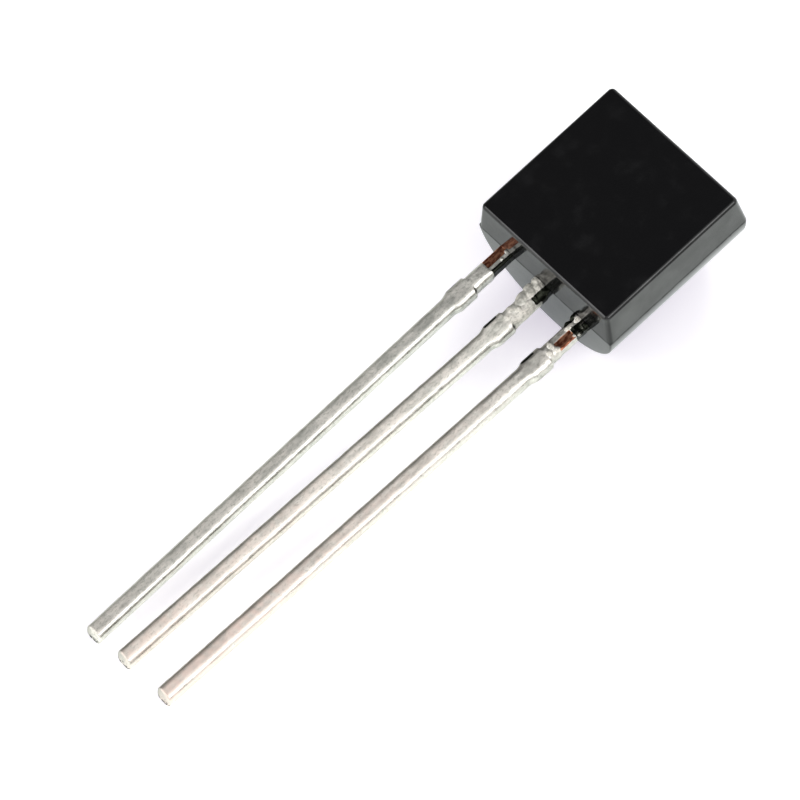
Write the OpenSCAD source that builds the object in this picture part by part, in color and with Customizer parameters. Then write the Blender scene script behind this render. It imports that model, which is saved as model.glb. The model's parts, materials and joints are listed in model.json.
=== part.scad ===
// Three-lead transistor in a small moulded package, flat face up, lying on its rounded back.
// A black epoxy body is moulded over a stamped copper leadframe that carries the chip.
//
// Package coordinates, used by every module: X runs from the lead end of the body (x = 0)
// to its closed end, Y runs across the leads, and Z is 0 at the parting plane, which is
// also the top of the leadframe, and rises towards the flat face.

/* [Moulded body] */
// Width of the body across the leads, at the parting plane
body_w = 4.5; // [4.3:0.05:5.2]
// Length of the body along the leads, at the parting plane
body_l = 4.5; // [4.3:0.05:5.2]
// Height of the flat face above the parting plane
flat_h = 1.1; // [0.9:0.05:1.6]
// Depth of the rounded back below the parting plane
back_d = 2.25; // [1.8:0.05:2.6]
// Draft of the four walls round the flat face, in degrees
flat_draft = 6; // [2:0.5:10]
// Radius of the rounded rim round the flat face
rim_r = 0.1; // [0.05:0.01:0.2]
// Draft of the two end walls of the rounded half, in degrees
back_draft = 1; // [0.5:0.5:8]
// How far the rounded half stands off the flat half along X, where the mould halves met
mould_shift_x = 0.02; // [0.01:0.01:0.08]
// How far the rounded half stands off the flat half towards +Y
mould_shift_y = 0.04; // [0.01:0.01:0.12]

/* [Leads] */
// Length of the longest lead, from the body to its cut tip
lead_l = 13.45; // [8:0.05:16]
// Width of the stamped lead
lead_w = 0.42; // [0.36:0.01:0.55]
// Thickness of the stamped strip
lead_t = 0.41; // [0.34:0.01:0.5]
// Distance between neighbouring leads where they leave the body
lead_pitch = 1.3; // [1.2:0.01:1.35]
// How much shorter the middle lead was cut
base_trim = 0.07; // [0.02:0.01:0.4]
// How much shorter the chip's lead was cut
collector_trim = 0.1; // [0.02:0.01:0.4]
// Lean of the emitter lead towards +Y, in degrees
emitter_splay = -0.4; // [-2:0.1:2]
// Lean of the base lead towards +Y, in degrees
base_splay = 1.1; // [-2:0.1:2]
// Lean of the collector lead towards +Y, in degrees
collector_splay = 0.9; // [-2:0.1:2]

/* [Solder coat] */
// Thickness of the solder on the dipped tails
coat_t = 0.02; // [0.01:0.005:0.04]
// Bare copper left between the body and the solder on the emitter lead
emitter_bare = 0.6; // [0.05:0.05:1.1]
// The same on the base lead, where the solder ran almost up to the body
base_bare = 0.1; // [0.05:0.05:1.1]
// The same on the collector lead
collector_bare = 0.9; // [0.05:0.05:1.1]
// Rounding of the solder over the long edges of a tail
coat_corner_r = 0.1; // [0.05:0.01:0.14]

/* [Dam bar stub] */
// Distance from the body to the stub that the trimmed dam bar left on each lead
dam_start = 1.2; // [1.15:0.05:2]
// Length of the stub along the lead
dam_l = 0.75; // [0.4:0.05:1]
// How far the stub stands out on each side of the lead
dam_out = 0.06; // [0.04:0.01:0.1]
// Length of the sloping shoulder at the stub's outer end
dam_shoulder = 0.2; // [0.1:0.05:0.3]

/* [Leadframe in the body] */
// Distance from the lead end of the body to the bonding pads
pad_setback = 0.7; // [0.5:0.05:0.9]
// Length of a bonding pad
pad_l = 0.8; // [0.6:0.05:0.9]
// Width of a bonding pad
pad_w = 0.85; // [0.7:0.05:1]
// Gap stamped between the bonding pads and the paddle that carries the chip
pad_gap = 0.55; // [0.4:0.05:0.7]
// Width of the paddle
paddle_w = 2.4; // [2:0.05:2.7]
// How far the paddle reaches past the outer side of its lead
paddle_wing = 0.1; // [0.05:0.05:0.2]
// Distance from the paddle to the closed end of the body
paddle_gap = 0.85; // [0.7:0.05:1]
// Radius of the notches and the hole that lock the leadframe in the moulding
lock_r = 0.13; // [0.1:0.01:0.18]
// Distance from the lock hole to the paddle's two outer edges
lock_inset = 0.35; // [0.3:0.05:0.45]

/* [Chip and wires] */
// Side of the square chip
die_w = 0.6; // [0.4:0.05:0.8]
// Thickness of the chip
die_t = 0.2; // [0.15:0.01:0.3]
// Thickness of the solder under the chip
attach_t = 0.03; // [0.02:0.01:0.05]
// How far the solder under the chip spreads past each of its sides
attach_margin = 0.05; // [0.03:0.01:0.08]
// Diameter of the bond wires
wire_d = 0.04; // [0.03:0.005:0.05]
// Height of the wires' arch above the line between their ends
wire_rise = 0.3; // [0.2:0.05:0.45]
// Diameter of the bonds at the ends of the wires
bond_d = 0.11; // [0.09:0.01:0.13]
// Height of the bonds at the ends of the wires
bond_h = 0.03; // [0.02:0.005:0.04]
// Distance of each bond on the chip from the chip's middle, along X and across
bond_offset = 0.15; // [0.1:0.01:0.15]

/* [Hidden] */

curve_fn = 96;
small_fn = 32;
wire_sides = 8;
wire_rings = 14;

epoxy_colour = [0.07, 0.07, 0.08];
lead_colour = [0.66, 0.66, 0.61];
silicon_colour = [0.34, 0.35, 0.42];
solder_colour = [0.55, 0.56, 0.57];
gold_colour = [0.85, 0.68, 0.3];

// The leads' middle lines and the directions they lean in
emitter_y = lead_pitch;
base_y = 0;
collector_y = -lead_pitch;

// Section of a solder-dipped tail
tail_w = lead_w + 2 * coat_t;
tail_t = lead_t + 2 * coat_t;
tail_mid_z = -lead_t / 2;

// Radius of the rounded back, and the height of the line that it is struck from
back_r = body_w / 2;
back_centre_z = back_r - back_d;
// The end walls of the rounded half move inwards by this much down to its crown
end_inset = back_d * tan(back_draft);
// The rim is an arc that touches the flat face and a wall: how far its middle lies in from
// the foot of the wall, and where it meets the wall
rim_x = (flat_h - rim_r) * tan(flat_draft) + rim_r / cos(flat_draft);
wall_top_x = rim_x - rim_r * cos(flat_draft);
wall_top_z = flat_h - rim_r * (1 - sin(flat_draft));

// The paddle fills the space from the pads to the closed end, and the chip sits at its middle
paddle_start_x = pad_setback + pad_l + pad_gap;
paddle_end_x = body_l - paddle_gap;
paddle_l = paddle_end_x - paddle_start_x;
paddle_low_y = collector_y - lead_w / 2 - paddle_wing;
die_x = paddle_start_x + paddle_l / 2;
die_y = paddle_low_y + paddle_w / 2;
die_top_z = attach_t + die_t;
pad_mid_x = pad_setback + pad_l / 2;

// How the part lies: on the lead end of its back and on the tips of the leads
function tip_reach(cut_l, lean) =
    dam_start + (cut_l - dam_start) * cos(lean) + tail_w / 2 * sin(abs(lean));
tips_reach = max(tip_reach(lead_l, emitter_splay),
                 tip_reach(lead_l - base_trim, base_splay),
                 tip_reach(lead_l - collector_trim, collector_splay));
heel_x = mould_shift_x + end_inset;
crown_x = mould_shift_x + body_l - end_inset;
tilt = atan((back_d - lead_t - coat_t) / (heel_x + tips_reach));
lift_z = back_d * cos(tilt) - heel_x * sin(tilt);
low_x = -tips_reach * cos(tilt) - coat_t * sin(tilt);
high_x = max(crown_x * cos(tilt) + back_d * sin(tilt), (body_l + mould_shift_x) * cos(tilt));
low_y = -body_w / 2;
high_y = back_r + mould_shift_y;

// Turns and lifts a piece from package coordinates to where it lies on the surface
module as_it_lies() {
    translate([-(low_x + high_x) / 2, -(low_y + high_y) / 2, lift_z])
        rotate([0, -tilt, 0])
            children();
}

// Carries an outline drawn across the leads along X, from the lead end
module along_x(length) {
    rotate([90, 0, 90]) linear_extrude(length) children();
}

// Carries an outline drawn in side view across the leads, to both sides of the middle
module across_y(width) {
    rotate([90, 0, 0]) linear_extrude(width, center = true) children();
}

// Carries an outline drawn across a lead outwards, from the body towards the tip
module outwards(length) {
    rotate([90, 0, -90]) linear_extrude(length) children();
}

// Outline of the upper half between two of its walls: drafted sides up to a rounded rim
module flat_outline(foot) {
    polygon([[0, 0], [foot, 0], [foot - wall_top_x, wall_top_z], [foot - rim_x, flat_h],
             [rim_x, flat_h], [wall_top_x, wall_top_z]]);
    for (x = [rim_x, foot - rim_x])
        translate([x, flat_h - rim_r]) circle(r = rim_r, $fn = small_fn);
}

// Upper half of the body: four drafted walls up to the flat face
module flat_half() {
    intersection() {
        along_x(body_l) translate([-body_w / 2, 0]) flat_outline(body_w);
        across_y(body_w) flat_outline(body_l);
    }
}

// Outline of the rounded half across the leads. A back deeper than its radius gets straight
// sides between the parting plane and the round.
module back_outline() {
    intersection() {
        translate([0, back_centre_z]) circle(r = back_r, $fn = curve_fn);
        translate([-back_r, -back_d]) square([2 * back_r, back_d]);
    }
    if (back_centre_z < 0)
        translate([-back_r, back_centre_z]) square([2 * back_r, -back_centre_z]);
}

// Lower half of the body: the rounded back between two drafted end walls
module round_half() {
    translate([mould_shift_x, mould_shift_y, 0]) intersection() {
        along_x(body_l) back_outline();
        across_y(body_w)
            polygon([[0, 0], [end_inset, -back_d], [body_l - end_inset, -back_d], [body_l, 0]]);
    }
}

// A flat part stamped from the strip, its top at the parting plane
module stamped() {
    translate([0, 0, -lead_t]) linear_extrude(lead_t) children();
}

// Outline of a lead's neck, from inside the dam bar stub to a depth in the body
module neck_outline(y, depth) {
    neck_out = dam_start + dam_l / 2;
    translate([-neck_out, y - lead_w / 2]) square([neck_out + depth, lead_w]);
}

// Outline of a neck and bonding pad, with a round notch in each side of the pad
module pad_outline(y) {
    difference() {
        union() {
            neck_outline(y, pad_setback + pad_l / 2);
            translate([pad_setback, y - pad_w / 2]) square([pad_l, pad_w]);
        }
        for (side = [-1, 1])
            translate([pad_mid_x, y + side * pad_w / 2]) circle(r = lock_r, $fn = small_fn);
    }
}

// Outline of the neck and paddle that carry the chip, with a round hole that resin fills
module paddle_outline() {
    difference() {
        union() {
            neck_outline(collector_y, paddle_start_x + paddle_l / 2);
            translate([paddle_start_x, paddle_low_y]) square([paddle_l, paddle_w]);
        }
        translate([paddle_end_x - lock_inset, paddle_low_y + lock_inset])
            circle(r = lock_r, $fn = small_fn);
    }
}

// Section of a dipped tail: a rectangle with rounded corners
module tail_section() {
    square([tail_w - 2 * coat_corner_r, tail_t], center = true);
    square([tail_w, tail_t - 2 * coat_corner_r], center = true);
    for (side = [-1, 1], level = [-1, 1])
        translate([side * (tail_w / 2 - coat_corner_r), level * (tail_t / 2 - coat_corner_r)])
            circle(r = coat_corner_r, $fn = small_fn);
}

// Stub of the dam bar, square towards the body and sloping towards the tip
module dam_stub() {
    half = tail_w / 2;
    translate([0, 0, -tail_t / 2]) linear_extrude(tail_t)
        polygon([[0, half + dam_out], [dam_shoulder - dam_l, half + dam_out], [-dam_l, half],
                 [-dam_l, -half], [dam_shoulder - dam_l, -half - dam_out], [0, -half - dam_out]]);
}

// The dipped part of a lead outside the body: neck beyond the bare copper, stub, leaning tail
module dipped_tail(y, bare, cut_l, lean) {
    translate([-bare, y, tail_mid_z]) outwards(dam_start - bare + dam_l / 2) tail_section();
    translate([-dam_start, y, tail_mid_z]) rotate([0, 0, -lean]) {
        dam_stub();
        translate([-dam_l / 2, 0, 0]) outwards(cut_l - dam_start - dam_l / 2) tail_section();
    }
}

// Point on the arch of a wire between two bonds: t runs from 0 to 1, and both ends are upright
function arch_share(t) = (1 - cos(180 * t)) / 2;
function arch_point(a, b, t) = a + (b - a) * arch_share(t) + [0, 0, wire_rise * sin(180 * t)];
// Direction of the arch there, and of a line across it in the level plane
function unit(v) = v / norm(v);
function arch_direction(a, b, t) =
    unit((b - a) * sin(180 * t) / 2 + [0, 0, wire_rise * cos(180 * t)]);
function level_across(a, b) = unit([a.y - b.y, b.x - a.x, 0]);

// A bond wire: a round wire swept along its arch, with a flat bond at each end
module bond_wire(from, to) {
    start = from + [0, 0, bond_h / 2];
    end = to + [0, 0, bond_h / 2];
    across = level_across(start, end);
    rings = [for (i = [0 : wire_rings], k = [0 : wire_sides - 1])
        let (t = i / wire_rings, turn = 360 * k / wire_sides,
             other = cross(across, arch_direction(start, end, t)))
        arch_point(start, end, t) + wire_d / 2 * (cos(turn) * across + sin(turn) * other)];
    last = wire_rings * wire_sides;
    walls = [for (i = [0 : wire_rings - 1], k = [0 : wire_sides - 1])
        let (next = (k + 1) % wire_sides, here = i * wire_sides, beyond = here + wire_sides)
        [here + k, here + next, beyond + next, beyond + k]];
    first_cap = [for (k = [0 : wire_sides - 1]) wire_sides - 1 - k];
    last_cap = [for (k = [0 : wire_sides - 1]) last + k];
    polyhedron(points = rings, faces = concat([first_cap], walls, [last_cap]), convexity = 4);
    for (place = [from, to])
        translate(place) cylinder(d = bond_d, h = bond_h, $fn = small_fn);
}

// Pieces in package coordinates, shared by the nodes and by the space they take in the resin
module emitter_part() {
    stamped() pad_outline(emitter_y);
    dipped_tail(emitter_y, emitter_bare, lead_l, emitter_splay);
}

module base_part() {
    stamped() pad_outline(base_y);
    dipped_tail(base_y, base_bare, lead_l - base_trim, base_splay);
}

module collector_part() {
    stamped() paddle_outline();
    dipped_tail(collector_y, collector_bare, lead_l - collector_trim, collector_splay);
}

module attach_part() {
    attach_w = die_w + 2 * attach_margin;
    translate([die_x - attach_w / 2, die_y - attach_w / 2, 0]) cube([attach_w, attach_w, attach_t]);
}

module die_part() {
    translate([die_x - die_w / 2, die_y - die_w / 2, attach_t]) cube([die_w, die_w, die_t]);
}

module emitter_wire_part() {
    bond_wire([die_x + bond_offset, die_y + bond_offset, die_top_z], [pad_mid_x, emitter_y, 0]);
}

module base_wire_part() {
    bond_wire([die_x - bond_offset, die_y - bond_offset, die_top_z], [pad_mid_x, base_y, 0]);
}

module epoxy_body() {
    color(epoxy_colour) as_it_lies() difference() {
        union() {
            flat_half();
            round_half();
        }
        stamped() {
            pad_outline(emitter_y);
            pad_outline(base_y);
            paddle_outline();
        }
        attach_part();
        die_part();
        emitter_wire_part();
        base_wire_part();
    }
}

module emitter_lead() {
    color(lead_colour) as_it_lies() emitter_part();
}

module base_lead() {
    color(lead_colour) as_it_lies() base_part();
}

module collector_lead() {
    color(lead_colour) as_it_lies() collector_part();
}

module silicon_die() {
    color(silicon_colour) as_it_lies() die_part();
}

module die_attach() {
    color(solder_colour) as_it_lies() attach_part();
}

module emitter_bond_wire() {
    color(gold_colour) as_it_lies() emitter_wire_part();
}

module base_bond_wire() {
    color(gold_colour) as_it_lies() base_wire_part();
}

epoxy_body();
emitter_lead();
base_lead();
collector_lead();
silicon_die();
die_attach();
emitter_bond_wire();
base_bond_wire();
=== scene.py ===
"""A three-lead transistor in a small moulded package, dressed for a studio picture.

The part lies flat face up, on its rounded back and on the tips of its leads. Sizes are in
millimetres in package coordinates: x runs from the lead end of the body to its closed end,
y runs across the leads, and z is 0 at the parting plane and rises towards the flat face.
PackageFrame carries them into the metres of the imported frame.
"""

import json
import logging
import math
from dataclasses import dataclass, field
from enum import Enum

import bmesh
import bpy
import numpy as np
from mathutils import Matrix, Vector

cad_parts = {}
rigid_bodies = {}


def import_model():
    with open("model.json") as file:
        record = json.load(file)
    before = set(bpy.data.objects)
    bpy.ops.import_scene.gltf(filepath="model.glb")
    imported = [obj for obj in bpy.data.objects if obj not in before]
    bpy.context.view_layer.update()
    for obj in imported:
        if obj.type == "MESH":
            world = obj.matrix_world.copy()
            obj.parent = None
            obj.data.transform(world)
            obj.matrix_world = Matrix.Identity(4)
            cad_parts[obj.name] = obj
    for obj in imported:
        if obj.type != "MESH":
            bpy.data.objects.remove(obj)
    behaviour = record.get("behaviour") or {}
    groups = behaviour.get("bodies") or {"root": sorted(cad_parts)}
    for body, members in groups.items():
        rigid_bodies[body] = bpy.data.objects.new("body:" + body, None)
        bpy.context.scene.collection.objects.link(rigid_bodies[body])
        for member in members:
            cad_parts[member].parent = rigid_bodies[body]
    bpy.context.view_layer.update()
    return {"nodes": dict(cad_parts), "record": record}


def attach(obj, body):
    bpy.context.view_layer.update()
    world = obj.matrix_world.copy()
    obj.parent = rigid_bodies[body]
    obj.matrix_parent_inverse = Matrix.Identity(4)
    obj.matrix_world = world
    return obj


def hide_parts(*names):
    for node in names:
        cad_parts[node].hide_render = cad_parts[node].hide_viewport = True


LOG = logging.getLogger("transistor")
MM = 0.001
MEETING = 2e-5 * MM


class Slot(Enum):
    """The record's material slots for this script's own pieces, which this script doesn't assign."""

    EPOXY = "epoxy"
    DIPPED_COPPER = "dipped_copper"


@dataclass(frozen=True)
class PackageFrame:
    """The package's place in the row frame: its origin and its three directions."""

    origin: np.ndarray
    axes: np.ndarray

    @classmethod
    def from_record(cls, record: dict, flat_centre: tuple[float, float, float]) -> "PackageFrame":
        """Reads the place from the mount on the flat face.

        The mount's axis is the package's z. Its x is square to that and to the row's y.

        Args:
            record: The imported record.
            flat_centre: The middle of the flat face, in package millimetres.

        Returns:
            The frame that puts the flat face on its mount.
        """
        mount = next(m for m in record["mounts"] if m["name"] == "flat_side")
        up = np.array(mount["axis"], float)
        up /= np.linalg.norm(up)
        across = np.array((0.0, 1.0, 0.0))
        axes = np.stack([np.cross(across, up), across, up])
        return cls(np.array(mount["pos_m"]) - MM * np.array(flat_centre) @ axes, axes)

    @property
    def tilt(self) -> float:
        """The angle by which the package leans back on the floor, in radians."""
        return math.atan2(self.axes[0][2], self.axes[0][0])

    def place(self, points: np.ndarray) -> np.ndarray:
        """Carries package millimetres to row metres."""
        return self.origin + MM * points @ self.axes

    def direction(self, vector: tuple[float, float, float]) -> np.ndarray:
        """Turns a package direction into the row frame."""
        return np.array(vector, float) @ self.axes


@dataclass(frozen=True)
class Ripple:
    """A smooth random field: a sum of sine waves in seeded random directions."""

    size: float
    seed: int
    waves: int = 28

    def at(self, points: np.ndarray) -> np.ndarray:
        """Gives the field at points, about -1 to 1.

        Each wave is sin(k.p + phase), with k in a random direction and 2 pi over about the
        ripple's size long. Their sum is divided by the root of their number.

        Args:
            points: Positions in millimetres, in an array whose last axis has length 3.

        Returns:
            The field, in an array of the points' other axes.
        """
        draw = np.random.default_rng(self.seed)
        heading = draw.normal(size=(3, self.waves))
        heading /= np.linalg.norm(heading, axis=0)
        heading *= 2 * math.pi / self.size * draw.uniform(0.6, 1.4, self.waves)
        phase = draw.uniform(0, 2 * math.pi, self.waves)
        return np.sin(points @ heading + phase).sum(-1) / math.sqrt(self.waves)


@dataclass(frozen=True)
class Outline:
    """Samples round a rectangle with round corners, anticlockwise.

    A sample is inner * (half - r) + outward * r: a point of the inner rectangle, which is
    the unit square scaled, moved outwards by the corner radius r.
    """

    inner: np.ndarray
    outward: np.ndarray

    @classmethod
    def sampled(cls, first_side: int, second_side: int, corner: int) -> "Outline":
        """Spreads the samples.

        Args:
            first_side: Steps along the two sides that face the first axis.
            second_side: Steps along the two sides that face the second axis.
            corner: Steps round each corner.

        Returns:
            The samples of the unit square.
        """
        inner, outward = [], []
        for side, steps in enumerate((first_side, second_side) * 2):
            turn = side * math.pi / 2
            facing = np.array((math.cos(turn), math.sin(turn))).round()
            along = np.array((-facing[1], facing[0]))
            share = np.linspace(-1, 1, steps + 1)[:, None]
            inner.append(facing + share * along)
            outward.append(np.repeat(facing[None], steps + 1, 0))
            arc = np.linspace(0, math.pi / 2, corner + 1)[1:-1, None]
            inner.append(np.repeat((facing + along)[None], corner - 1, 0))
            outward.append(np.cos(arc) * facing + np.sin(arc) * along)
        return cls(np.concatenate(inner), np.concatenate(outward))

    def rows(self, half: np.ndarray, lower: np.ndarray, upper: np.ndarray | None = None) -> np.ndarray:
        """Draws one outline per row.

        Args:
            half: Half sizes of each row, in an array of rows by 2.
            lower: Radius of each row's corners on the second axis's negative side.
            upper: Radius of the other two corners, the same as lower where it isn't given.

        Returns:
            Points in an array of rows by samples by 2.
        """
        upper = lower if upper is None else upper
        height = (self.inner[:, 1] + 1) / 2
        radius = (lower[:, None] + (upper - lower)[:, None] * height)[..., None]
        return self.inner * (half[:, None] - radius) + self.outward * radius


def smooth_step(value: np.ndarray) -> np.ndarray:
    """The cubic 3t^2 - 2t^3 of a value held between 0 and 1."""
    held = np.clip(value, 0, 1)
    return held * held * (3 - 2 * held)


def rise(value: np.ndarray, ends: tuple[float, float]) -> np.ndarray:
    """The smooth step of a value from one end to the other."""
    return smooth_step((value - ends[0]) / (ends[1] - ends[0]))


def tube_faces(rows: int, samples: int) -> list[list[int]]:
    """Faces of a closed tube: a quad between each two rows and samples, and two end faces.

    Args:
        rows: The number of rows.
        samples: The number of points in each row.

    Returns:
        The faces, as lists of point numbers.
    """
    here = np.arange(rows * samples).reshape(rows, samples)
    beside = np.roll(here, -1, axis=1)
    quads = np.stack([here[:-1], here[1:], beside[1:], beside[:-1]], -1).reshape(-1, 4)
    return [*quads.tolist(), here[0].tolist(), here[-1][::-1].tolist()]


def new_piece(
    name: str, points: np.ndarray, faces: list[list[int]], smooth: np.ndarray
) -> bpy.types.Object:
    """Makes a mesh object at the origin from points in row metres.

    Args:
        name: The piece's name.
        points: Points in an array of count by 3.
        faces: Lists of point numbers.
        smooth: One flag for each face, true where it is shaded smooth.

    Returns:
        The object, linked to the scene.
    """
    mesh = bpy.data.meshes.new(name)
    mesh.from_pydata(points.tolist(), [], faces)
    mesh.polygons.foreach_set("use_smooth", smooth)
    piece = bpy.data.objects.new(name, mesh)
    bpy.context.scene.collection.objects.link(piece)
    return piece


def close_seams(piece: bpy.types.Object) -> None:
    """Merges points that meet and turns all faces outwards.

    Args:
        piece: A closed shell.
    """
    shell = bmesh.new()
    shell.from_mesh(piece.data)
    bmesh.ops.remove_doubles(shell, verts=shell.verts, dist=MEETING)
    bmesh.ops.recalc_face_normals(shell, faces=shell.faces)
    shell.to_mesh(piece.data)
    shell.free()


def paint(piece: bpy.types.Object, name: str, values: np.ndarray) -> None:
    """Stores one number per point in a named attribute of the piece's mesh."""
    layer = piece.data.attributes.new(name, "FLOAT", "POINT")
    layer.data.foreach_set("value", values.astype(np.float32))


def srgb(code: str) -> tuple[float, float, float, float]:
    """Turns a colour written as sRGB hex into linear RGBA.

    Up to 0.04045 a part c becomes c / 12.92, and above it ((c + 0.055) / 1.055) to the 2.4.

    Args:
        code: The colour, such as #C0C0C0.

    Returns:
        Linear red, green and blue, and an alpha of 1.
    """
    parts = [int(code[i : i + 2], 16) / 255 for i in (1, 3, 5)]
    linear = [c / 12.92 if c <= 0.04045 else ((c + 0.055) / 1.055) ** 2.4 for c in parts]
    return (*linear, 1.0)


def add_node(
    tree: bpy.types.NodeTree, kind: str, inputs: dict | None = None, **settings: object
) -> bpy.types.Node:
    """Adds one node with its settings, and sets or links its inputs.

    Args:
        tree: The node tree.
        kind: The node's type name, without its ShaderNode prefix.
        inputs: A value or a socket to link, for each input's name or number.
        **settings: The node's own properties.

    Returns:
        The node.
    """
    node = tree.nodes.new("ShaderNode" + kind)
    for name, value in settings.items():
        setattr(node, name, value)
    for key, value in (inputs or {}).items():
        if isinstance(value, bpy.types.NodeSocket):
            tree.links.new(value, node.inputs[key])
        else:
            node.inputs[key].default_value = value
    return node


def attribute(tree: bpy.types.NodeTree, name: str) -> bpy.types.NodeSocket:
    """Reads a named attribute of the piece's mesh."""
    return add_node(tree, "Attribute", attribute_name=name).outputs["Fac"]


def new_material(name: str) -> tuple[bpy.types.Material, bpy.types.NodeTree]:
    """Makes an empty node material.

    Args:
        name: The material's name.

    Returns:
        The material and its node tree.
    """
    material = bpy.data.materials.new(name)
    material.use_nodes = True
    material.node_tree.nodes.clear()
    return material, material.node_tree


def object_pattern(
    tree: bpy.types.NodeTree, size: tuple[float, float, float], tilt: float
) -> bpy.types.NodeSocket:
    """Object coordinates turned along the package and counted in pattern sizes.

    Args:
        tree: The node tree.
        size: The pattern's real size along x, y and z, in millimetres.
        tilt: The package's lean, in radians.

    Returns:
        The vector socket.
    """
    place = add_node(tree, "TexCoord")
    turned = add_node(
        tree,
        "Mapping",
        {
            "Vector": place.outputs["Object"],
            "Rotation": (0.0, -tilt, 0.0),
            "Scale": tuple(MM * s for s in size),
        },
        vector_type="TEXTURE",
    )
    return turned.outputs["Vector"]


def noise(
    tree: bpy.types.NodeTree,
    size: tuple[float, float, float],
    tilt: float,
    detail: float = 3.0,
    rough: float = 0.55,
) -> bpy.types.NodeSocket:
    """Adds fractal noise that lies along the package.

    Args:
        tree: The node tree.
        size: The noise's real size along x, y and z, in millimetres.
        tilt: The package's lean, in radians.
        detail: How many times finer noise is added.
        rough: How much each finer one counts.

    Returns:
        A value that stays mostly between 0.3 and 0.7.
    """
    vector = object_pattern(tree, size, tilt)
    node = add_node(
        tree, "TexNoise", {"Vector": vector, "Scale": 1.0, "Detail": detail, "Roughness": rough}
    )
    return node.outputs[0]


def ramp(
    tree: bpy.types.NodeTree,
    value: bpy.types.NodeSocket,
    source: tuple[float, float],
    target: tuple[float, float] = (0.0, 1.0),
) -> bpy.types.NodeSocket:
    """Carries a value smoothly from one range to another, held at both ends."""
    node = add_node(
        tree,
        "MapRange",
        {
            "Value": value,
            "From Min": source[0],
            "From Max": source[1],
            "To Min": target[0],
            "To Max": target[1],
        },
        interpolation_type="SMOOTHSTEP",
    )
    return node.outputs[0]


def band(
    tree: bpy.types.NodeTree,
    value: bpy.types.NodeSocket,
    start: tuple[float, float],
    end: tuple[float, float],
    level: float = 1.0,
) -> bpy.types.NodeSocket:
    """Gives a level between two ranges, rising over the first and falling to 0 over the second."""
    rise = ramp(tree, value, start, (0.0, level))
    return calculate(tree, "MULTIPLY", rise, ramp(tree, value, end, (1.0, 0.0)))


def blend_colours(
    tree: bpy.types.NodeTree, share: bpy.types.NodeSocket, first: object, second: object
) -> bpy.types.NodeSocket:
    """Mixes two colours, given as values or sockets, by a share from 0 to 1."""
    node = add_node(tree, "Mix", {0: share, 6: first, 7: second}, data_type="RGBA")
    return node.outputs[2]


def blend_numbers(
    tree: bpy.types.NodeTree, share: bpy.types.NodeSocket, first: object, second: object
) -> bpy.types.NodeSocket:
    """Mixes two numbers, given as values or sockets, by a share from 0 to 1."""
    node = add_node(tree, "Mix", {0: share, 2: first, 3: second}, data_type="FLOAT")
    return node.outputs[0]


def calculate(
    tree: bpy.types.NodeTree, operation: str, first: object, second: object = 0.0
) -> bpy.types.NodeSocket:
    """Does one sum on two numbers, given as values or sockets."""
    node = add_node(tree, "Math", {0: first, 1: second}, operation=operation)
    return node.outputs[0]


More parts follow.
